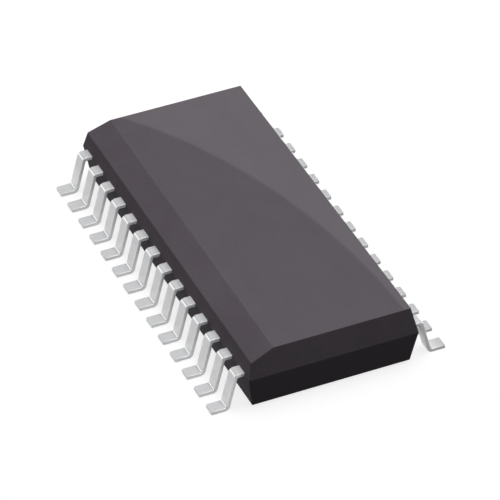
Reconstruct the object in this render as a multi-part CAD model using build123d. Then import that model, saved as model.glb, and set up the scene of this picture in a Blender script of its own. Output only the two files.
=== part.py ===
from build123d import *
import math
import os

# Lead rows, in millimetres: fourteen leads down each long side
PITCH = 0.635
LEADS_PER_SIDE = 14
LEAD_WIDTH = 0.30
METAL = 0.08

# Moulded body: two drafted halves that meet at the parting plane
BODY_LENGTH = 9.02
BODY_WIDTH = 3.90
STAND_OFF = 0.05
LOWER_HALF = 0.79
UPPER_HALF = 0.60
LOWER_INSET = 0.13
UPPER_INSET = 0.135
BEVEL_WIDTH = 0.475
BEVEL_DROP = 0.215
EDGE_ROUND = 0.02
EJECTOR_MARK_DIAMETER = 0.90
EJECTOR_MARK_DEPTH = 0.02
EJECTOR_MARK_SPACING = 4.80

# Gull-wing bends of a lead, outside the body
REACH = 0.75
SHOULDER = 0.18
LEG_ANGLE = 76.0
SHOULDER_RADIUS = 0.035
HEEL_RADIUS = 0.04

# Inner finger of a lead, inside the body
ANCHOR_DEPTH = 0.32
FAN_END = 1.12
TIP_INNER = 0.92
TIP_WIDTH = 0.22
TIP_PITCH = 0.56

# Die paddle with its two tie bars, one pressed strip
PADDLE_WIDTH = 1.50
PADDLE_LENGTH = 6.40
PADDLE_DOWNSET = 0.12
TIE_BAR_WIDTH = 0.40
TIE_BAR_RISE_RUN = 0.18
TIE_BAR_FLAT = 0.16
TIE_BAR_COVER = 0.15

# Silicon die and the glue under it
DIE_WIDTH = 1.16
DIE_LENGTH = 5.60
DIE_THICKNESS = 0.20
GLUE_THICKNESS = 0.02
GLUE_SPREAD = 0.03

# Gold bond wires, eight-sided in section
WIRE_ACROSS = 0.025
BALL_ACROSS = 0.07
BALL_HEIGHT = 0.02
PAD_EDGE_MARGIN = 0.10
PAD_END_MARGIN = 0.20
LOOP_RISE = 0.11
LOOP_CREST = 0.03
LOOP_CREST_SHARE = 0.35
STITCH_LENGTH = 0.06
STITCH_FROM_TIP = 0.05

# Levels worked out from the sizes above
PARTING_Z = STAND_OFF + LOWER_HALF
TOP_Z = PARTING_Z + UPPER_HALF
METAL_TOP = PARTING_Z + METAL / 2
METAL_BOTTOM = PARTING_Z - METAL / 2
HALF_WIDTH = BODY_WIDTH / 2
HALF_LENGTH = BODY_LENGTH / 2
ANCHOR_X = HALF_WIDTH - ANCHOR_DEPTH
PADDLE_TOP = METAL_TOP - PADDLE_DOWNSET
DIE_BOTTOM = PADDLE_TOP + GLUE_THICKNESS
DIE_TOP = DIE_BOTTOM + DIE_THICKNESS
PAD_PITCH = (DIE_LENGTH - 2 * PAD_END_MARGIN) / (LEADS_PER_SIDE - 1)


def row_position(number, spacing):
    """Place along Y of one of fourteen evenly spaced things, counted from the back."""
    return ((LEADS_PER_SIDE - 1) / 2 - number) * spacing


def block(width, length, bottom, top):
    """Upright block centred over the origin between two levels."""
    middle = (bottom + top) / 2
    return Pos(0, 0, middle) * Box(width, length, top - bottom)


def drafted_half(height, inset, rises):
    """Half of the moulded body, narrowing away from the parting plane."""
    angle = math.degrees(math.atan(inset / height))
    outline = Plane.XY.offset(PARTING_Z) * Rectangle(BODY_WIDTH, BODY_LENGTH)
    way = (0, 0, 1) if rises else (0, 0, -1)
    return extrude(outline, amount=height, dir=way, taper=angle)


def bevel_cut(shell):
    """Slope along the left long edge of the top, which marks the side of lead 1."""
    inner_x = -(HALF_WIDTH - UPPER_INSET) + BEVEL_WIDTH
    share = (UPPER_HALF - BEVEL_DROP) / UPPER_HALF
    outer_x = -HALF_WIDTH + UPPER_INSET * share
    run = inner_x - outer_x
    slope = Plane(origin=(inner_x, 0, TOP_Z), x_dir=(0, 1, 0), z_dir=(-BEVEL_DROP, 0, run))
    return split(shell, bisect_by=slope, keep=Keep.BOTTOM)


def rounded_edges(shell):
    """Soft mould radius on every outer edge but the sharp parting line."""
    above = shell.edges().filter_by(lambda e: e.center().Z > PARTING_Z + EDGE_ROUND)
    shell = fillet(above, EDGE_ROUND)
    below = shell.edges().filter_by(lambda e: e.center().Z < PARTING_Z - EDGE_ROUND)
    return fillet(below, EDGE_ROUND)


def mould_shape():
    """Outer form of the package before the pockets are taken out."""
    shell = drafted_half(UPPER_HALF, UPPER_INSET, True)
    shell = shell + drafted_half(LOWER_HALF, LOWER_INSET, False)
    shell = bevel_cut(shell)
    shell = rounded_edges(shell)
    mark = Cylinder(EJECTOR_MARK_DIAMETER / 2, EJECTOR_MARK_DEPTH * 2)
    for side in (-1, 1):
        shell = shell - Pos(0, side * EJECTOR_MARK_SPACING / 2, STAND_OFF) * mark
    return shell


def mitre_point(corner, half_turn, across):
    """Corner of one face of a bent strip, beside the corner of its middle line."""
    x, z = corner
    return (x + across * math.tan(half_turn), z + across)


def gull_wing():
    """Side profile of shoulder, leg and foot, drawn out to the lead width."""
    turn = math.radians(LEG_ANGLE)
    shoulder_x = HALF_WIDTH + SHOULDER
    foot_z = METAL / 2
    heel_x = shoulder_x + (PARTING_Z - foot_z) / math.tan(turn)
    toe_x = HALF_WIDTH + REACH
    shoulder_top = mitre_point((shoulder_x, PARTING_Z), turn / 2, METAL / 2)
    shoulder_under = mitre_point((shoulder_x, PARTING_Z), turn / 2, -METAL / 2)
    heel_top = mitre_point((heel_x, foot_z), turn / 2, METAL / 2)
    heel_under = mitre_point((heel_x, foot_z), turn / 2, -METAL / 2)
    outline = [
        (ANCHOR_X, METAL_TOP),
        shoulder_top,
        heel_top,
        (toe_x, METAL),
        (toe_x, 0),
        heel_under,
        shoulder_under,
        (ANCHOR_X, METAL_BOTTOM),
    ]
    profile = make_face(Polyline(*outline, close=True))
    radii = [
        (shoulder_top, SHOULDER_RADIUS + METAL),
        (shoulder_under, SHOULDER_RADIUS),
        (heel_top, HEEL_RADIUS),
        (heel_under, HEEL_RADIUS + METAL),
    ]
    for spot, radius in radii:
        corner = profile.vertices().sort_by_distance(Vector(spot[0], spot[1], 0))[0]
        profile = fillet(corner, radius)
    upright = Plane.XZ * profile
    return extrude(upright, amount=LEAD_WIDTH / 2, both=True)


def finger(number):
    """Flat inner end of a lead, fanned in toward the die."""
    root_y = row_position(number, PITCH)
    tip_y = row_position(number, TIP_PITCH)
    outline = [
        (ANCHOR_X, root_y + LEAD_WIDTH / 2),
        (FAN_END, tip_y + TIP_WIDTH / 2),
        (TIP_INNER, tip_y + TIP_WIDTH / 2),
        (TIP_INNER, tip_y - TIP_WIDTH / 2),
        (FAN_END, tip_y - TIP_WIDTH / 2),
        (ANCHOR_X, root_y - LEAD_WIDTH / 2),
    ]
    plan = Plane.XY.offset(METAL_BOTTOM) * make_face(Polyline(*outline, close=True))
    return extrude(plan, amount=METAL, dir=(0, 0, 1))


def lead(number, wing):
    """One bent strip of the right-hand row: gull wing outside, finger inside."""
    return Pos(0, row_position(number, PITCH), 0) * wing + finger(number)


def tie_bar_profile():
    """Side view of one tie bar, stepping up from the paddle to the lead plane."""
    start = PADDLE_LENGTH / 2
    knee = start + TIE_BAR_FLAT
    crown = knee + TIE_BAR_RISE_RUN
    end = HALF_LENGTH - TIE_BAR_COVER
    under = PADDLE_TOP - METAL
    outline = [
        (start - TIE_BAR_FLAT, PADDLE_TOP),
        (knee, PADDLE_TOP),
        (crown, METAL_TOP),
        (end, METAL_TOP),
        (end, METAL_BOTTOM),
        (crown, METAL_BOTTOM),
        (knee, under),
        (start - TIE_BAR_FLAT, under),
    ]
    return make_face(Polyline(*outline, close=True))


def die_paddle():
    """Down-set paddle that carries the die, with a tie bar at each end."""
    plate = block(PADDLE_WIDTH, PADDLE_LENGTH, PADDLE_TOP - METAL, PADDLE_TOP)
    bar = extrude(Plane.YZ * tie_bar_profile(), amount=TIE_BAR_WIDTH / 2, both=True)
    return plate + bar + mirror(bar, about=Plane.XZ)


def die_attach():
    """Thin bed of glue that spreads a little past the die."""
    width = DIE_WIDTH + 2 * GLUE_SPREAD
    length = DIE_LENGTH + 2 * GLUE_SPREAD
    return block(width, length, PADDLE_TOP, DIE_BOTTOM)


def die():
    """Sawn silicon block."""
    return block(DIE_WIDTH, DIE_LENGTH, DIE_BOTTOM, DIE_TOP)


def bond_wire(number):
    """Looped wire from a pad on the die to the tip of a right-hand finger."""
    pad_x = DIE_WIDTH / 2 - PAD_EDGE_MARGIN
    pad_y = row_position(number, PAD_PITCH)
    end_x = TIP_INNER + STITCH_FROM_TIP + STITCH_LENGTH
    end_y = row_position(number, TIP_PITCH)
    span = math.hypot(end_x - pad_x, end_y - pad_y)
    heading = math.degrees(math.atan2(end_y - pad_y, end_x - pad_x))
    start_z = DIE_TOP + BALL_HEIGHT
    rest_z = METAL_TOP + WIRE_ACROSS / 2
    path = Polyline(
        (0, 0, start_z - BALL_HEIGHT / 2),
        (0, 0, start_z + LOOP_RISE),
        (span * LOOP_CREST_SHARE, 0, start_z + LOOP_RISE + LOOP_CREST),
        (span - STITCH_LENGTH, 0, rest_z),
        (span, 0, rest_z),
    )
    section = RegularPolygon(WIRE_ACROSS / 2, 8, major_radius=False, rotation=22.5)
    start = Plane.XY.offset(start_z - BALL_HEIGHT / 2)
    strand = sweep(start * section, path=path, transition=Transition.RIGHT)
    disc = RegularPolygon(BALL_ACROSS / 2, 8, major_radius=False, rotation=22.5)
    ball = extrude(Plane.XY.offset(DIE_TOP) * disc, amount=BALL_HEIGHT, dir=(0, 0, 1))
    return Pos(pad_x, pad_y, 0) * Rot(0, 0, heading) * (strand + ball)


def both_rows(make_one):
    """Left row counted from the back, then the right row counted from the front."""
    right_row = [make_one(number) for number in range(LEADS_PER_SIDE)]
    left_row = [mirror(piece, about=Plane.YZ) for piece in right_row]
    return left_row + list(reversed(right_row))


def moulded_body(inner_pieces):
    """Package moulding with an exact pocket for everything it encloses."""
    return mould_shape() - inner_pieces


def save(piece, name):
    """Write one piece to its own file."""
    piece.label = name
    export_step(piece, "parts/" + name + ".step")


def as_solid(piece):
    """The single solid held in a built shape."""
    solids = piece.solids()
    if len(solids) != 1:
        raise ValueError("a piece must be one solid")
    return solids[0]


def main():
    """Build every piece and write it out."""
    os.makedirs("parts", exist_ok=True)
    wing = gull_wing()
    leads = [as_solid(piece) for piece in both_rows(lambda number: lead(number, wing))]
    wires = [as_solid(piece) for piece in both_rows(bond_wire)]
    paddle = as_solid(die_paddle())
    glue = as_solid(die_attach())
    chip = as_solid(die())
    body = as_solid(moulded_body(leads + wires + [paddle, glue, chip]))
    save(body, "body")
    save(paddle, "die_paddle")
    save(glue, "die_attach")
    save(chip, "die")
    for place, piece in enumerate(leads, start=1):
        save(piece, "lead_%02d" % place)
    for place, piece in enumerate(wires, start=1):
        save(piece, "bond_wire_%02d" % place)


main()
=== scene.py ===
"""A shrink small-outline chip, dressed and lit for a studio picture."""

from __future__ import annotations

import logging
import math
from dataclasses import dataclass
from enum import Enum
from typing import Union

import bpy
from mathutils import Matrix, Vector

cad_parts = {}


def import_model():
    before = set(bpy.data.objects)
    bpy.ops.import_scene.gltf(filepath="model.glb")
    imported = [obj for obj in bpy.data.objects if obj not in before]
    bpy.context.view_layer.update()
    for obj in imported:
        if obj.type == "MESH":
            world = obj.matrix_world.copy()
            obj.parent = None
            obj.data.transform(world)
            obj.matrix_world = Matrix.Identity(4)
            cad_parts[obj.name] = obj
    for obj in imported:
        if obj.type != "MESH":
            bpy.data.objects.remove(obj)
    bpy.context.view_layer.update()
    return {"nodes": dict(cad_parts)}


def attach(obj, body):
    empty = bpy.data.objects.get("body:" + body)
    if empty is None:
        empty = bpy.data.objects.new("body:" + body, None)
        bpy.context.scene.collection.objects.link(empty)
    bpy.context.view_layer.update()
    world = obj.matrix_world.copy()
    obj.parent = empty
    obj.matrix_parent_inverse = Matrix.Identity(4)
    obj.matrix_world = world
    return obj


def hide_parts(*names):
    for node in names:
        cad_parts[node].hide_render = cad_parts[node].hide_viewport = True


MM = 0.001
PITCH = 0.635
LEADS_PER_SIDE = 14
SECTION_CORNERS = ((1, 1, 0), (-1, 1, 90), (-1, -1, 180), (1, -1, 270))
BODY_NAME = "root"
MIDTONES = (0.3, 0.7)

log = logging.getLogger("chip")

Pair = tuple[float, float]
Rgb = tuple[float, float, float]
Operand = Union["Value", float]


class Side(Enum):
    """The two long sides of the package."""

    LEFT = -1
    RIGHT = 1


class Mask(Enum):
    """Float attributes that the lead meshes carry for their finish and their painted
    highlights.
    """

    BEND = "bend"
    FLANK = "flank"
    TOE = "toe"
    EDGE = "edge"


class Value:
    """A shader socket that takes part in number expressions."""

    def __init__(self, graph: "Graph", socket: bpy.types.NodeSocket) -> None:
        """Wrap one output socket of a graph."""
        self.graph = graph
        self.socket = socket

    def _maths(self, operation: str, *operands: Operand) -> "Value":
        """Add one Math node and give its result."""
        settings = {"operation": operation}
        node = self.graph.add("ShaderNodeMath", settings, dict(enumerate(operands)))
        return Value(self.graph, node.outputs[0])

    def __add__(self, other: Operand) -> "Value":
        """Sum."""
        return self._maths("ADD", self, other)

    def __sub__(self, other: Operand) -> "Value":
        """Difference."""
        return self._maths("SUBTRACT", self, other)

    def __rsub__(self, other: Operand) -> "Value":
        """Difference from a number."""
        return self._maths("SUBTRACT", other, self)

    def __mul__(self, other: Operand) -> "Value":
        """Product."""
        return self._maths("MULTIPLY", self, other)

    def __pow__(self, other: float) -> "Value":
        """Power."""
        return self._maths("POWER", self, other)

    __radd__ = __add__
    __rmul__ = __mul__

    def floor_at(self, low: float) -> "Value":
        """The value, never under a number."""
        return self._maths("MAXIMUM", self, low)

    def ramp(self, start: float, end: float) -> "Value":
        """Smooth step from 0 at start to 1 at end.

        Args:
            start: Value that gives 0.
            end: Value that gives 1.

        Returns:
            The stepped value.
        """
        settings = {"interpolation_type": "SMOOTHSTEP"}
        sockets = {"Value": self, "From Min": start, "From Max": end}
        node = self.graph.add("ShaderNodeMapRange", settings, sockets)
        return Value(self.graph, node.outputs[0])


class Graph:
    """The node tree of one material or of the surrounding light."""

    def __init__(self, tree: bpy.types.NodeTree) -> None:
        """Start with an empty tree."""
        self.tree = tree
        tree.nodes.clear()

    def add(self, kind: str, settings: dict, sockets: dict) -> bpy.types.Node:
        """Add one node.

        Args:
            kind: Blender's name for the node's type.
            settings: Properties to set first.
            sockets: Values or links, by socket name or number.

        Returns:
            The new node.
        """
        node = self.tree.nodes.new(kind)
        for name, setting in settings.items():
            setattr(node, name, setting)
        for name, value in sockets.items():
            self.feed(node, name, value)
        return node

    def feed(
        self, node: bpy.types.Node, name: Union[str, int], value: object
    ) -> None:
        """Give one input socket a value or a link.

        Args:
            node: The node that is fed.
            name: Name or number of the socket.
            value: A number, a colour, a vector or an output to link.
        """
        socket = node.inputs[name]
        if isinstance(value, Value):
            self.tree.links.new(value.socket, socket)
        elif isinstance(value, bpy.types.NodeSocket):
            self.tree.links.new(value, socket)
        else:
            socket.default_value = value

    def out(self, node: bpy.types.Node, name: Union[str, int]) -> Value:
        """Wrap one output socket of a node."""
        return Value(self, node.outputs[name])

    def place(self, scale: Rgb) -> bpy.types.NodeSocket:
        """Place on the object in millimetres, stretched by a scale.

        Args:
            scale: Factor along X, Y and Z.

        Returns:
            The vector socket.
        """
        coordinates = self.add("ShaderNodeTexCoord", {}, {})
        stretch = tuple(part / MM for part in scale)
        sockets = {0: coordinates.outputs["Object"], 1: stretch}
        settings = {"operation": "MULTIPLY"}
        return self.add("ShaderNodeVectorMath", settings, sockets).outputs[0]

    def noise(
        self, per_mm: float, detail: float, scale: Rgb = (1, 1, 1), twist: float = 0
    ) -> Value:
        """Cloudy value about 0.5.

        Args:
            per_mm: Features in a millimetre.
            detail: Octaves of finer detail.
            scale: Stretch along X, Y and Z.
            twist: Distortion.

        Returns:
            The noise value.
        """
        sockets = {
            "Vector": self.place(scale),
            "Scale": per_mm,
            "Detail": detail,
            "Distortion": twist,
        }
        return self.out(self.add("ShaderNodeTexNoise", {}, sockets), 0)

    def grains(self, per_mm: float) -> Value:
        """Distance to the nearest of scattered grains."""
        sockets = {"Vector": self.place((1, 1, 1)), "Scale": per_mm}
        return self.out(self.add("ShaderNodeTexVoronoi", {}, sockets), "Distance")

    def normal_part(self, axis: str) -> Value:
        """One component of the surface's normal.

        Args:
            axis: X, Y or Z.

        Returns:
            The component, from -1 to 1.
        """
        geometry = self.add("ShaderNodeNewGeometry", {}, {})
        normal = {0: geometry.outputs["Normal"]}
        return self.out(self.add("ShaderNodeSeparateXYZ", {}, normal), axis)

    def attribute(self, mask: Mask) -> Value:
        """A float attribute of the mesh."""
        node = self.add("ShaderNodeAttribute", {"attribute_name": mask.value}, {})
        return self.out(node, "Fac")

    def blend(
        self, share: Operand, first: object, second: object
    ) -> bpy.types.NodeSocket:
        """Mix two colours.

        Args:
            share: How much of the second colour.
            first: Colour or socket at share 0.
            second: Colour or socket at share 1.

        Returns:
            The colour socket.
        """
        settings = {"data_type": "RGBA", "clamp_factor": True}
        node = self.add("ShaderNodeMix", settings, {0: share})
        for name, colour in ((6, first), (7, second)):
            value = (*colour, 1.0) if isinstance(colour, tuple) else colour
            self.feed(node, name, value)
        return node.outputs[2]

    def bump(
        self, height: Operand, strength: float, depth: float
    ) -> bpy.types.NodeSocket:
        """Surface normal shaken by a height.

        Args:
            height: Height value.
            strength: Share of the effect.
            depth: Depth of height 1, in millimetres.

        Returns:
            The normal socket.
        """
        sockets = {"Strength": strength, "Distance": depth * MM, "Height": height}
        return self.add("ShaderNodeBump", {}, sockets).outputs[0]

    def surface(self, sockets: dict) -> None:
        """Finish a material with one principled surface."""
        shader = self.add("ShaderNodeBsdfPrincipled", {}, sockets)
        self.add("ShaderNodeOutputMaterial", {}, {0: shader.outputs[0]})


def material(name: str) -> tuple[bpy.types.Material, Graph]:
    """Make an empty node material.

    Args:
        name: Name of the material.

    Returns:
        The material and its node tree.
    """
    made = bpy.data.materials.new(name)
    made.use_nodes = True
    return made, Graph(made.node_tree)


@dataclass(frozen=True)
class MouldCompound:
    """Dark epoxy full of fine silica, satin on the sides and smoother on top, with painted
    light on the top faces and painted shade on faces that look downward.
    """

    dark: Rgb = (0.0945, 0.0812, 0.0937)
    light: Rgb = (0.1165, 0.1022, 0.1165)
    filler: Rgb = (0.133, 0.122, 0.132)
    # Painted light: the top faces are blended towards this lighter colour.
    top_painted_light: Rgb = (0.129, 0.1125, 0.133)
    # Painted shade: faces that look downward are blended towards this darker colour.
    shade: Rgb = (0.070, 0.060, 0.070)
    top_faces: Pair = (0.97, 0.995)
    upright_faces: Pair = (-0.12, 0.02)
    cloud_per_mm: float = 0.9
    cloud_twist: float = 0.6
    cloud_share: float = 0.35
    cloud_rough: float = 0.08
    grain_per_mm: float = 26.0
    grain_share: float = 0.45
    grain_rough: float = 0.12
    grain_height: float = 0.6
    flow_per_mm: float = 1.4
    flow_stretch: Rgb = (1.0, 0.18, 1.0)
    flow_twist: float = 0.4
    flow_share: float = 0.2
    speck_per_mm: float = 22.0
    speck_size: Pair = (0.05, 0.16)
    speck_share: float = 0.35
    speck_height: float = 0.25
    dust_per_mm: float = 70.0
    dust_height: float = 0.25
    top_painted_light_share: float = 0.35
    painted_shade_share: float = 0.7
    roughness: float = 0.62
    top_smoother: float = 0.06
    top_flatter: float = 0.6
    specular: float = 0.03
    gloss_roughness: float = 0.01
    gloss_ior: float = 1.5
    bump_strength: float = 0.35
    bump_depth: float = 0.004

    def make(self) -> bpy.types.Material:
        """Build the material.

        Returns:
            The finished material.
        """
        made, graph = material("mould_compound")
        cloud = graph.noise(self.cloud_per_mm, 3.0, twist=self.cloud_twist)
        grain = graph.noise(self.grain_per_mm, 2.0)
        flow = graph.noise(self.flow_per_mm, 2.0, self.flow_stretch, self.flow_twist)
        specks = 1 - graph.grains(self.speck_per_mm).ramp(*self.speck_size)
        dust = graph.noise(self.dust_per_mm, 1.0)
        facing = graph.normal_part("Z")
        # The top mask carries the coat, the smoother roughness and the painted light of
        # the top faces.
        top = facing.ramp(*self.top_faces)
        # The under mask marks faces that look downward, for the painted shade.
        under = 1 - facing.ramp(*self.upright_faces)
        share = cloud * self.cloud_share + grain * self.grain_share
        share = share + flow * self.flow_share
        colour = graph.blend(share.ramp(*MIDTONES), self.dark, self.light)
        colour = graph.blend(specks * self.speck_share, colour, self.filler)
        # Painted light: the top faces are lightened.
        colour = graph.blend(top * self.top_painted_light_share, colour, self.top_painted_light)
        # Painted shade: faces that look downward are darkened.
        colour = graph.blend(under * self.painted_shade_share, colour, self.shade)
        rough = self.roughness + (grain - 0.5) * self.grain_rough
        rough = rough + (cloud - 0.5) * self.cloud_rough - top * self.top_smoother
        height = grain * self.grain_height + specks * self.speck_height
        height = (height + dust * self.dust_height) * (1 - top * self.top_flatter)
        graph.surface({
            "Base Color": colour,
            "Roughness": rough,
            "Specular IOR Level": self.specular,
            "Coat Weight": top,
            "Coat Roughness": self.gloss_roughness,
            "Coat IOR": self.gloss_ior,
            "Normal": graph.bump(height, self.bump_strength, self.bump_depth),
        })
        return made


@dataclass(frozen=True)
class TinPlate:
    """Matte tin over stamped strip, partly rubbed and partly given a painted highlight
    along the bend creases and the top edges.
    """

    name: str = "tin_plate"
    plate: Rgb = (0.89, 0.897, 0.91)
    dull: Rgb = (0.81, 0.817, 0.828)
    # Painted highlight colour for the creases and top edges, partly rubbed tin.
    rubbed_and_highlight: Rgb = (1.0, 1.0, 1.0)
    # Tone of the sheared flanks and toe; darkened as painted shade on the right row.
    sheared_and_shade: Rgb = (0.92, 0.925, 0.935)
    crystal_per_mm: float = 30.0
    crystal_share: float = 0.35
    crystal_rough: float = 0.16
    drawn_per_mm: float = 9.0
    drawn_stretch: Rgb = (0.3, 5.0, 0.3)
    drawn_share: float = 0.35
    cloud_per_mm: float = 2.2
    cloud_share: float = 0.3
    cloud_metal: float = 0.1
    flank_share: float = 0.75
    flank_metal: float = 0.1
    flank_rough: float = 0.08
    toe_share: float = 0.6
    edge_wear_and_highlight: float = 0.3
    wear_metal: float = 0.5
    wear_polish: float = 0.2
    wear_flatter: float = 0.8
    metallic: float = 0.34
    roughness: float = 0.42
    bump_strength: float = 0.25
    bump_depth: float = 0.003

    def make(self) -> bpy.types.Material:
        """Build the material.

        Returns:
            The finished material.
        """
        made, graph = material(self.name)
        crystals = graph.noise(self.crystal_per_mm, 2.0)
        drawn = graph.noise(self.drawn_per_mm, 2.0, self.drawn_stretch)
        cloud = graph.noise(self.cloud_per_mm, 2.0)
        flank = graph.attribute(Mask.FLANK)
        toe = graph.attribute(Mask.TOE)
        crease = graph.attribute(Mask.BEND) * (1 - flank)
        # Crease and top-edge mask: partly rubbed tin, partly painted highlight.
        wear_and_highlight = crease + graph.attribute(Mask.EDGE) * self.edge_wear_and_highlight
        share = crystals * self.crystal_share + drawn * self.drawn_share
        share = share + cloud * self.cloud_share
        cut = flank * self.flank_share + toe * self.toe_share
        colour = graph.blend(share.ramp(*MIDTONES), self.dull, self.plate)
        # The cut faces take the sheared tone, which carries painted shade on the right
        # row.
        colour = graph.blend(cut, colour, self.sheared_and_shade)
        # Painted highlight: the creases and top edges are whitened.
        colour = graph.blend(wear_and_highlight, colour, self.rubbed_and_highlight)
        metal = self.metallic + (cloud - 0.5) * self.cloud_metal
        metal = metal + flank * self.flank_metal + wear_and_highlight * self.wear_metal
        rough = self.roughness + (crystals - 0.5) * self.crystal_rough
        rough = rough + flank * self.flank_rough - wear_and_highlight * self.wear_polish
        height = (crystals * 0.5 + drawn * 0.5) * (1 - wear_and_highlight * self.wear_flatter)
        graph.surface({
            "Base Color": colour,
            "Metallic": metal,
            "Roughness": rough,
            "Normal": graph.bump(height, self.bump_strength, self.bump_depth),
        })
        return made


@dataclass(frozen=True)
class PlainMetal:
    """Bare metal with drawn streaks, for the pieces sealed inside."""

    name: str
    low: Rgb
    high: Rgb
    roughness: float
    streak_per_mm: float = 12.0
    streak_stretch: Rgb = (4.0, 0.3, 1.0)
    streak_rough: float = 0.15
    bump_strength: float = 0.15
    bump_depth: float = 0.002

    def make(self) -> bpy.types.Material:
        """Build the material.

        Returns:
            The finished material.
        """
        made, graph = material(self.name)
        streaks = graph.noise(self.streak_per_mm, 3.0, self.streak_stretch)
        graph.surface({
            "Base Color": graph.blend(streaks.ramp(*MIDTONES), self.low, self.high),
            "Metallic": 1.0,
            "Roughness": self.roughness + (streaks - 0.5) * self.streak_rough,
            "Normal": graph.bump(streaks, self.bump_strength, self.bump_depth),
        })
        return made


@dataclass(frozen=True)
class SiliconDie:
    """Polished silicon with the faint square blocks of its circuit."""

    ground: Rgb = (0.10, 0.105, 0.125)
    blocks: Rgb = (0.19, 0.17, 0.22)
    blocks_per_mm: float = 3.0
    block_jitter: float = 0.6
    block_edges: Pair = (0.1, 0.6)
    block_rough: float = 0.1
    metallic: float = 0.35
    roughness: float = 0.18
    bump_strength: float = 0.1
    bump_depth: float = 0.001

    def make(self) -> bpy.types.Material:
        """Build the material.

        Returns:
            The finished material.
        """
        made, graph = material("silicon_die")
        sockets = {
            "Vector": graph.place((1, 1, 1)),
            "Scale": self.blocks_per_mm,
            "Randomness": self.block_jitter,
        }
        settings = {"distance": "CHEBYCHEV"}
        cells = graph.add("ShaderNodeTexVoronoi", settings, sockets)
        shade = graph.out(cells, "Distance")
        share = shade.ramp(*self.block_edges)
        graph.surface({
            "Base Color": graph.blend(share, self.ground, self.blocks),
            "Metallic": self.metallic,
            "Roughness": self.roughness + shade * self.block_rough,
            "Normal": graph.bump(shade, self.bump_strength, self.bump_depth),
        })
        return made


@dataclass(frozen=True)
class SilverGlue:
    """Epoxy filled with silver flakes."""

    paste: Rgb = (0.34, 0.34, 0.35)
    flakes: Rgb = (0.62, 0.62, 0.63)
    flakes_per_mm: float = 38.0
    flake_size: Pair = (0.1, 0.4)
    flake_metal: float = 0.8
    flake_polish: float = 0.15
    roughness: float = 0.5
    bump_strength: float = 0.3
    bump_depth: float = 0.003

    def make(self) -> bpy.types.Material:
        """Build the material.

        Returns:
            The finished material.
        """
        made, graph = material("silver_glue")
        flake = 1 - graph.grains(self.flakes_per_mm).ramp(*self.flake_size)
        graph.surface({
            "Base Color": graph.blend(flake, self.paste, self.flakes),
            "Metallic": flake * self.flake_metal,
            "Roughness": self.roughness - flake * self.flake_polish,
            "Normal": graph.bump(flake, self.bump_strength, self.bump_depth),
        })
        return made


@dataclass(frozen=True)
class PaleFloor:
    """Matt pale sweep that the chip stands on, clear from below."""

    tone: float = 0.27
    glow: float = 0.79
    roughness: float = 0.9

    def make(self) -> bpy.types.Material:
        """Build the material.

        Returns:
            The finished material.
        """
        made, graph = material("pale_floor")
        geometry = graph.add("ShaderNodeNewGeometry", {}, {})
        graph.surface({
            "Alpha": 1 - graph.out(geometry, "Backfacing"),
            "Base Color": (self.tone, self.tone, self.tone, 1.0),
            "Roughness": self.roughness,
            "Specular IOR Level": 0.0,
            "Emission Color": (1.0, 1.0, 1.0, 1.0),
            "Emission Strength": self.glow,
        })
        return made


@dataclass
class Station:
    """One cross-section of a lead strip."""

    x: float
    z: float
    turn: float
    y: float
    half_width: float
    # Share of the painted highlight along the middle of the bend.
    bend: float = 0.0
    toe: float = 0.0
    shrink: float = 0.0


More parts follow.
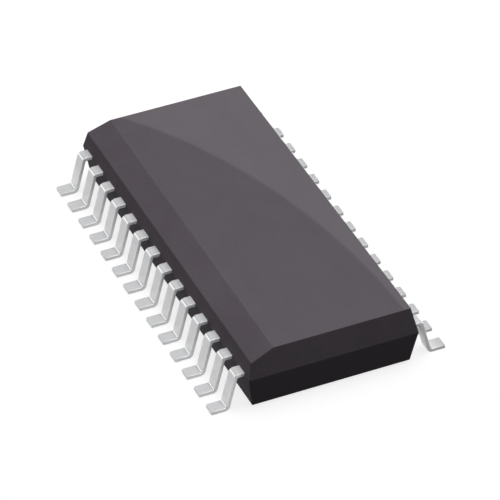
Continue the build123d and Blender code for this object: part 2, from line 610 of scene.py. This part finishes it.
@dataclass
class LeadRow:
    """One row of gull-wing leads, each a bent strip with a fanned finger inside."""

    side: Side
    finish: bpy.types.Material
    width: float = 0.30
    metal: float = 0.08
    level: float = 0.84
    body_half: float = 1.95
    reach: float = 0.75
    shoulder: float = 0.18
    leg_angle: float = 76.0
    shoulder_radius: float = 0.035
    heel_radius: float = 0.04
    anchor_depth: float = 0.32
    fan_end: float = 1.12
    tip_inner: float = 0.92
    tip_width: float = 0.22
    tip_pitch: float = 0.56
    edge_round: float = 0.010
    edge_steps: int = 2
    # Width of the painted highlight band on the top edges; the crease values give the
    # reach and strength of the painted highlight along the bends.
    rubbed_highlight_band: float = 0.018
    arc_steps: int = 16
    shoulder_crease: float = 0.22
    heel_crease: float = 0.6
    crease_core: float = 1.8
    flank_from: float = 0.9

    def _spot(self, number: int, pitch: float) -> float:
        """Place along Y of a lead, counted from the back."""
        return ((LEADS_PER_SIDE - 1) / 2 - number) * pitch

    def _arc(self, corner: Pair, radius: float, down: bool) -> list[Rgb]:
        """Points round one bend of the middle line.

        Args:
            corner: Where the two straights would meet, in X and Z.
            radius: Radius of the middle line.
            down: True from level to sloping, False from sloping to level.

        Returns:
            Place in X and Z with the strip's angle there.
        """
        turn = math.radians(self.leg_angle)
        reach = radius * math.tan(turn / 2)
        way = 1 if down else -1
        points = []
        for step in range(self.arc_steps + 1):
            share = step / self.arc_steps
            angle = turn * (share if down else 1 - share)
            x = corner[0] - way * (reach - radius * math.sin(angle))
            z = corner[1] - way * radius * (1 - math.cos(angle))
            points.append((x, z, angle))
        return points

    def _bend(
        self, corner: Pair, radius: float, down: bool, root_y: float, crease: float
    ) -> list[Station]:
        """Cross-sections round one bend, with a painted highlight along its middle, partly
        rubbed tin.

        Args:
            corner: Where the two straights would meet, in X and Z.
            radius: Inside radius of the bend.
            down: True at the shoulder, False at the heel.
            root_y: Place of the lead along Y.
            crease: Reach of the painted highlight along the crease, as a share of the
                turn.

        Returns:
            The cross-sections in order.
        """
        turn = math.radians(self.leg_angle)
        rows = []
        for x, z, angle in self._arc(corner, radius + self.metal / 2, down):
            # The painted highlight is strongest at the middle of the bend.
            away = abs(angle / turn - 0.5)
            rubbed_and_highlight = min(1.0, self.crease_core * max(0.0, 1 - away / crease))
            rows.append(Station(x, z, angle, root_y, self.width / 2, bend=rubbed_and_highlight))
        return rows

    def _stations(self, number: int) -> list[Station]:
        """Cross-sections from the tip of the finger to the toe.

        Args:
            number: The lead, counted from the back.

        Returns:
            The cross-sections in order.
        """
        root_y = self._spot(number, PITCH)
        tip_y = self._spot(number, self.tip_pitch)
        half = self.width / 2
        tip_half = self.tip_width / 2
        foot_z = self.metal / 2
        edge = self.edge_round
        drop = (self.level - foot_z) / math.tan(math.radians(self.leg_angle))
        anchor = self.body_half - self.anchor_depth
        shoulder = (self.body_half + self.shoulder, self.level)
        heel = (shoulder[0] + drop, foot_z)
        toe_x = self.body_half + self.reach
        return [
            Station(self.tip_inner, self.level, 0, tip_y, tip_half, shrink=edge),
            Station(self.tip_inner + edge, self.level, 0, tip_y, tip_half),
            Station(self.fan_end, self.level, 0, tip_y, tip_half),
            Station(anchor, self.level, 0, root_y, half),
            *self._bend(
                shoulder, self.shoulder_radius, True, root_y, self.shoulder_crease
            ),
            *self._bend(heel, self.heel_radius, False, root_y, self.heel_crease),
            Station(toe_x - edge, foot_z, 0, root_y, half),
            Station(toe_x, foot_z, 0, root_y, half, toe=1.0, shrink=edge),
        ]

    def _ring(self, row: Station) -> list[tuple[Vector, dict[Mask, float]]]:
        """Corner-rounded section of the strip.

        Args:
            row: The cross-section.

        Returns:
            Points in millimetres, each with its masks.
        """
        half_y = row.half_width - row.shrink
        half_z = self.metal / 2 - row.shrink
        edge = self.edge_round
        outline = []
        for corner_y, corner_z, first in SECTION_CORNERS:
            arc = []
            for step in range(self.edge_steps + 1):
                angle = math.radians(first + 90 * step / self.edge_steps)
                y = corner_y * (half_y - edge) + edge * math.cos(angle)
                z = corner_z * (half_z - edge) + edge * math.sin(angle)
                flank = abs(math.cos(angle)) > self.flank_from
                # The last mark is the painted highlight on the top edges.
                arc.append((y, z, float(flank), float(corner_z > 0 and not flank)))
            if corner_z > 0:
                # An inner point ends the painted highlight band on the top face.
                inner_y = corner_y * (half_y - edge - self.rubbed_highlight_band)
                arc.insert(len(arc) if corner_y > 0 else 0, (inner_y, half_z, 0.0, 0.0))
            outline.extend(arc)
        centre = Vector((row.x, row.y, row.z))
        up = Vector((math.sin(row.turn), 0, math.cos(row.turn)))
        across = Vector((0, 1, 0))
        whole = {Mask.BEND: row.bend, Mask.TOE: row.toe}
        return [
            (centre + across * y + up * z, {**whole, Mask.FLANK: flank, Mask.EDGE: rubbed_and_highlight})
            for y, z, flank, rubbed_and_highlight in outline
        ]

    def _mesh(self, number: int) -> bpy.types.Mesh:
        """Loft one lead through its cross-sections.

        Args:
            number: The lead, counted from the back.

        Returns:
            A closed mesh with the masks as attributes.
        """
        rings = [self._ring(row) for row in self._stations(number)]
        count = len(rings[0])
        scale = Vector((self.side.value * MM, MM, MM))
        spots = [spot * scale for ring in rings for spot, _ in ring]
        marks = [mark for ring in rings for _, mark in ring]
        faces = []
        for row in range(len(rings) - 1):
            for step in range(count):
                here, following = row * count + step, row * count + (step + 1) % count
                faces.append((here, following, following + count, here + count))
        last = (len(rings) - 1) * count
        faces.append(tuple(reversed(range(count))))
        faces.append(tuple(last + step for step in range(count)))
        if self.side is Side.LEFT:
            faces = [tuple(reversed(face)) for face in faces]
        mesh = bpy.data.meshes.new("lead")
        mesh.from_pydata(spots, [], faces)
        for mask in Mask:
            layer = mesh.attributes.new(mask.value, "FLOAT", "POINT")
            layer.data.foreach_set("value", [mark[mask] for mark in marks])
        mesh.validate()
        mesh.shade_smooth()
        return mesh

    def build(self) -> list[bpy.types.Object]:
        """Build the row and set each lead in its node's place.

        Returns:
            The leads, counted from the back.
        """
        leads = []
        for number in range(LEADS_PER_SIDE):
            left = self.side is Side.LEFT
            place = number + 1 if left else 2 * LEADS_PER_SIDE - number
            lead = bpy.data.objects.new("gull_lead_%02d" % place, self._mesh(number))
            bpy.context.scene.collection.objects.link(lead)
            lead.data.materials.append(self.finish)
            weights = lead.modifiers.new("flat_faces", "WEIGHTED_NORMAL")
            weights.weight = 100
            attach(lead, BODY_NAME)
            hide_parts("lead_%02d" % place)
            log.info("%s: %s row", lead.name, self.side.name.lower())
            leads.append(lead)
        return leads


@dataclass
class Package:
    """The moulded body and what is sealed in it, all carried over from the CAD."""

    nodes: dict[str, bpy.types.Object]
    compound: bpy.types.Material
    copper: bpy.types.Material
    silicon: bpy.types.Material
    glue: bpy.types.Material
    gold: bpy.types.Material

    def dress(self) -> None:
        """Give every carried-over node its finish."""
        finishes = {
            "body": self.compound,
            "die_paddle": self.copper,
            "die": self.silicon,
            "die_attach": self.glue,
        }
        for name, node in self.nodes.items():
            wire = name.startswith("bond_wire_")
            finish = self.gold if wire else finishes.get(name)
            if finish is not None:
                node.data.materials.clear()
                node.data.materials.append(finish)
                log.info("%s: %s", name, finish.name)


@dataclass(frozen=True)
class Glow:
    """A soft patch of light far away in one direction."""

    azimuth: float
    elevation: float
    spread: float
    strength: float

    def direction(self) -> Vector:
        """Unit vector to the patch; azimuth 0 is +Y and 90 is +X.

        Returns:
            The unit vector.
        """
        across, up = math.radians(self.azimuth), math.radians(self.elevation)
        flat = math.cos(up)
        return Vector((math.sin(across) * flat, math.cos(across) * flat, math.sin(up)))


@dataclass
class Studio:
    """Floor, surrounding soft light and camera.

    Angles are in degrees, the floor's sizes in metres, the camera's distance and
    shift in lead pitches, and its focal length and the card in picture points.
    """

    glows: tuple[Glow, ...] = (
        Glow(0, 90, 8, 2.88),
        Glow(90, 60, 6, 1.4),
        Glow(90, 40, 6, 0.49),
        Glow(-90, 60, 6, 0.55),
        Glow(-39, 10, 12, 1.70),
        Glow(156, -36, 6, 0.07),
        Glow(0, -90, 4, 0.35),
    )
    floor_radius: float = 0.20
    floor_level: float = -2e-6
    sweep_radius: float = 0.08
    sweep_steps: int = 12
    wall_height: float = 0.40
    wall_glow: float = 0.95
    round_steps: int = 96
    azimuth: float = -23.901
    elevation: float = 37.798
    roll: float = -0.299
    distance: float = 150.293
    shift: Pair = (0.123, 0.5793)
    focal: float = 4407.336
    frame: int = 500
    sensor: float = 36.0
    clip: Pair = (0.001, 20.0)
    card_centre: Pair = (-55.2, 682.2)
    card_radius: float = 592.0
    card_middle: Pair = (375.0, 125.0)
    card_cone: Pair = (16.0, 12.0)
    card_light: float = 0.62
    card_edge: float = 0.8

    def _revolved(
        self, name: str, profile: list[Pair], finish: bpy.types.Material
    ) -> bpy.types.Object:
        """Turn a profile round the upright axis.

        Args:
            name: Name of the object.
            profile: Radius and height of each ring, from the middle out.
            finish: Its material.

        Returns:
            The object, marked as not part of the chip.
        """
        steps = self.round_steps
        spots = []
        for radius, height in profile:
            for step in range(steps):
                angle = math.tau * step / steps
                spots.append((radius * math.cos(angle), radius * math.sin(angle), height))
        faces = []
        for ring in range(len(profile) - 1):
            for step in range(steps):
                here, following = ring * steps + step, ring * steps + (step + 1) % steps
                faces.append((here, here + steps, following + steps, following))
        if profile[0][1] == profile[1][1]:
            faces.append(tuple(range(steps)))
        mesh = bpy.data.meshes.new(name)
        mesh.from_pydata(spots, [], faces)
        mesh.shade_smooth()
        mesh.materials.append(finish)
        made = bpy.data.objects.new(name, mesh)
        bpy.context.scene.collection.objects.link(made)
        made.visible_diffuse = False
        made.visible_shadow = False
        return made

    def floor(self) -> None:
        """Lay the pale floor and raise the sweep round it."""
        level, radius, curve = self.floor_level, self.floor_radius, self.sweep_radius
        flat = [(radius / 2, level), (radius, level)]
        self._revolved("floor", flat, PaleFloor().make())
        sweep = []
        for step in range(self.sweep_steps + 1):
            angle = math.pi / 2 * step / self.sweep_steps
            out, up = math.sin(angle), 1 - math.cos(angle)
            sweep.append((radius + curve * out, level + curve * up))
        sweep.append((radius + curve, self.wall_height))
        finish = PaleFloor(glow=self.wall_glow).make()
        self._revolved("backdrop", sweep, finish).visible_glossy = False

    def _axes(self) -> tuple[Vector, Vector, Vector]:
        """Directions of the camera.

        Returns:
            Its right, up and back as unit vectors.
        """
        across, lift = math.radians(self.azimuth), math.radians(self.elevation)
        flat = math.cos(lift)
        back = Vector((math.sin(across) * flat, -math.cos(across) * flat, math.sin(lift)))
        right = Vector((0, 0, 1)).cross(back).normalized()
        up = back.cross(right)
        turn = math.radians(self.roll)
        rolled_right = right * math.cos(turn) + up * math.sin(turn)
        rolled_up = up * math.cos(turn) - right * math.sin(turn)
        return rolled_right, rolled_up, back

    def camera(self) -> None:
        """Set the camera at the picture's angle."""
        right, up, back = self._axes()
        spot = back * self.distance + right * self.shift[0] + up * self.shift[1]
        data = bpy.data.cameras.new("camera")
        data.sensor_width = self.sensor
        data.lens = self.focal / self.frame * self.sensor
        data.clip_start, data.clip_end = self.clip
        camera = bpy.data.objects.new("camera", data)
        turn = Matrix((right, up, back)).transposed().to_4x4()
        camera.matrix_world = Matrix.Translation(spot * PITCH * MM) @ turn
        bpy.context.scene.collection.objects.link(camera)
        bpy.context.scene.camera = camera

    def _mirrored_ray(self, point: Pair) -> Vector:
        """Where the flat top reflects the ray of a picture point.

        Args:
            point: Place in the picture, from its upper left corner.

        Returns:
            Unit vector away from the top.
        """
        right, up, back = self._axes()
        half = self.frame / 2
        ray = right * (point[0] - half) + up * (half - point[1]) - back * self.focal
        return Vector((ray.x, ray.y, -ray.z)).normalized()

    def _card(self, graph: Graph, around: bpy.types.NodeSocket) -> Value:
        """White card that the top reflects, cut to a curve on one side.

        Args:
            graph: Node tree of the surrounding light.
            around: Direction looked in.

        Returns:
            The card's light in that direction.
        """
        centre = self._mirrored_ray(self.card_centre)
        x, y = self.card_centre
        border = self._mirrored_ray((x, y - self.card_radius)).dot(centre)
        soft = math.sqrt(1 - border * border) * self.card_edge / self.focal
        cut = self._facing(graph, around, centre).ramp(border - soft, border + soft)
        middle = self._mirrored_ray(self.card_middle)
        cone = [math.cos(math.radians(angle)) for angle in self.card_cone]
        near = self._facing(graph, around, middle).ramp(*cone)
        return (1 - cut) * near * self.card_light

    def light(self) -> None:
        """Surround the chip with soft patches of light and one curved card."""
        world = bpy.data.worlds.new("studio")
        bpy.context.scene.world = world
        world.use_nodes = True
        graph = Graph(world.node_tree)
        around = graph.add("ShaderNodeTexCoord", {}, {}).outputs["Generated"]
        total = self._card(graph, around)
        for glow in self.glows:
            facing = self._facing(graph, around, glow.direction()).floor_at(0.0)
            total = total + facing ** glow.spread * glow.strength
        shader = graph.add("ShaderNodeBackground", {}, {"Strength": total})
        graph.add("ShaderNodeOutputWorld", {}, {0: shader.outputs[0]})

    def _facing(
        self, graph: Graph, around: bpy.types.NodeSocket, way: Vector
    ) -> Value:
        """Cosine between the direction looked in and a fixed one.

        Args:
            graph: Node tree of the surrounding light.
            around: Direction looked in.
            way: The fixed direction.

        Returns:
            The cosine.
        """
        settings = {"operation": "DOT_PRODUCT"}
        sockets = {0: around, 1: tuple(way)}
        return graph.out(graph.add("ShaderNodeVectorMath", settings, sockets), "Value")

    def build(self) -> None:
        """Set up floor, light and camera."""
        self.floor()
        self.light()
        self.camera()
        bpy.context.scene.view_settings.view_transform = "Standard"
        log.info("studio: floor, light and camera")


COPPER = PlainMetal("copper_strip", (0.50, 0.25, 0.15), (0.72, 0.42, 0.28), 0.4)
GOLD = PlainMetal("gold_wire", (0.80, 0.52, 0.17), (0.92, 0.66, 0.28), 0.22)
LEAD_FINISHES = {
    Side.LEFT: TinPlate(),
    # The right row's cut faces are darkened as painted shade, since they stand clear of
    # the body's shadow.
    Side.RIGHT: TinPlate("tin_plate_right_painted_shade", sheared_and_shade=(0.52, 0.525, 0.54)),
}


def main() -> None:
    """Build the dressed chip in its studio."""
    logging.basicConfig(level=logging.INFO)
    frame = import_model()
    package = Package(
        nodes=frame["nodes"],
        compound=MouldCompound().make(),
        copper=COPPER.make(),
        silicon=SiliconDie().make(),
        glue=SilverGlue().make(),
        gold=GOLD.make(),
    )
    package.dress()
    for side in Side:
        LeadRow(side, LEAD_FINISHES[side].make()).build()
    Studio().build()


if __name__ == "__main__":
    main()
